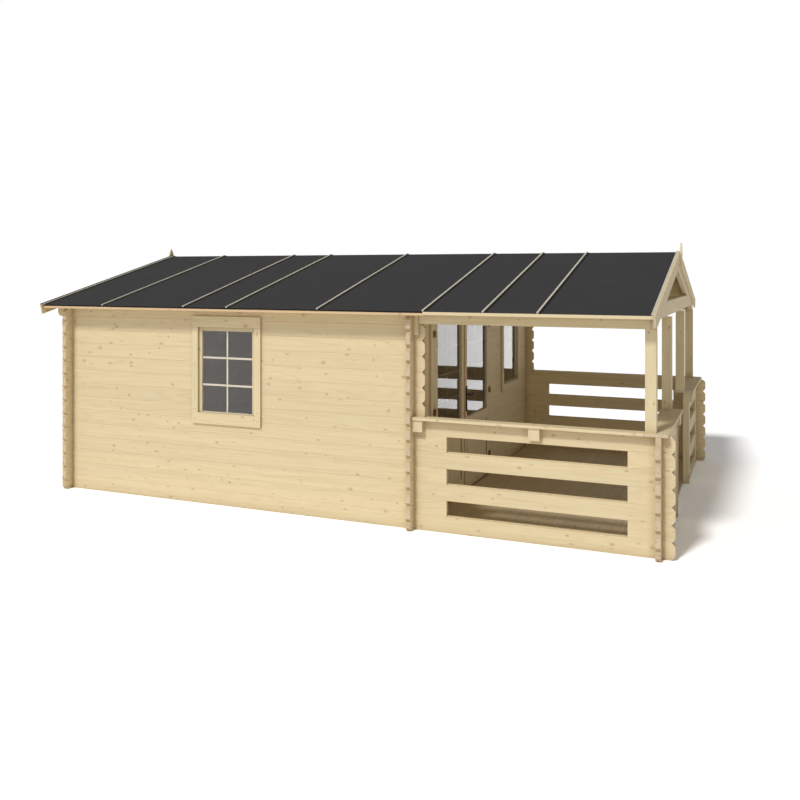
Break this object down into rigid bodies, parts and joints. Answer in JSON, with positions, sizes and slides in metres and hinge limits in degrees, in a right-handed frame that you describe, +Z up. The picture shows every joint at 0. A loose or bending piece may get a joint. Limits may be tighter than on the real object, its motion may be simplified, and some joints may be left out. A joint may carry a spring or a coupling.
{
  "type": "log cabin with a roofed porch",
  "caption": "Gabled log cabin with interlocking log walls, a glazed double door, barred windows, and a felt-covered roof that runs out over a railed porch.",
  "frame": {"origin": "middle of the building's base, at ground level", "axes": "+X along the ridge towards the porch, +Y across the building away from the viewed side, +Z up"},
  "size_m": [6.6286, 4.5872, 2.6791],
  "materials": {
    "pine_logs": "planed untreated pine",
    "pine_boards": "planed untreated pine",
    "pine_beams": "planed untreated pine",
    "floor_boards": "planed tongue and groove boards",
    "roof_boards": "sawn boards",
    "honey_pine": "honey-toned pine",
    "roofing_felt": "mineral-surfaced bitumen felt",
    "window_glass": "clear",
    "hinge_brass": "satin",
    "handle_black": "satin black"
  },
  "bodies": {
    "cabin": {"back_wall": "pine_logs", "near_lower_logs": "pine_logs", "near_upper_logs": "pine_logs", "far_lower_logs": "pine_logs", "far_upper_logs": "pine_logs", "front_wall_near": "pine_logs", "front_wall_far": "pine_logs", "front_wall_gable": "pine_logs", "front_rail_near": "pine_logs", "front_rail_far": "pine_logs", "near_window_frame": "pine_boards", "far_window_frame": "pine_boards", "front_window_frame": "pine_boards", "door_frame": "pine_boards", "rail_end_boards": "pine_boards", "rail_caps": "pine_boards", "cap_blocks": "pine_boards", "header_blocks": "pine_boards", "roof_battens": "pine_boards", "porch_eave_trims": "pine_boards", "barge_boards": "pine_boards", "gable_finials": "pine_boards", "porch_posts": "pine_beams", "header_beams": "pine_beams", "front_truss": "pine_beams", "ridge_beam": "pine_beams", "side_purlins": "pine_beams", "cabin_floor": "floor_boards", "porch_floor": "floor_boards", "near_roof_boards": "roof_boards", "far_roof_boards": "roof_boards", "cabin_eave_trims": "honey_pine", "near_felt": "roofing_felt", "far_felt": "roofing_felt", "near_window_glass": "window_glass", "far_window_glass": "window_glass", "front_window_glass": "window_glass", "frame_hinges": "hinge_brass"},
    "near_door": {"near_door_leaf": "pine_boards", "near_door_glass": "window_glass", "near_door_hinges": "hinge_brass"},
    "far_door": {"far_door_leaf": "pine_boards", "far_door_glass": "window_glass", "far_door_hinges": "hinge_brass", "lever_plates": "handle_black"},
    "handle": {"door_lever": "handle_black"}
  },
  "joints": [
    {"name": "near_door_hinge", "type": "hinge", "parent": "cabin", "child": "near_door", "pos_m": [1.0396, -1.5815, 1], "axis": [0, 0, -1], "range_deg": [0, 100]},
    {"name": "far_door_hinge", "type": "hinge", "parent": "cabin", "child": "far_door", "pos_m": [1.0396, 0.2475, 1], "axis": [0, 0, 1], "range_deg": [0, 100]},
    {"name": "lever_turn", "type": "hinge", "parent": "far_door", "child": "handle", "pos_m": [1.0286, -0.603, 1.0513], "axis": [-1, 0, 0], "range_deg": [0, 40], "stiffness_Nm_per_rad": 1.5, "springref_deg": -20.05}
  ]
}
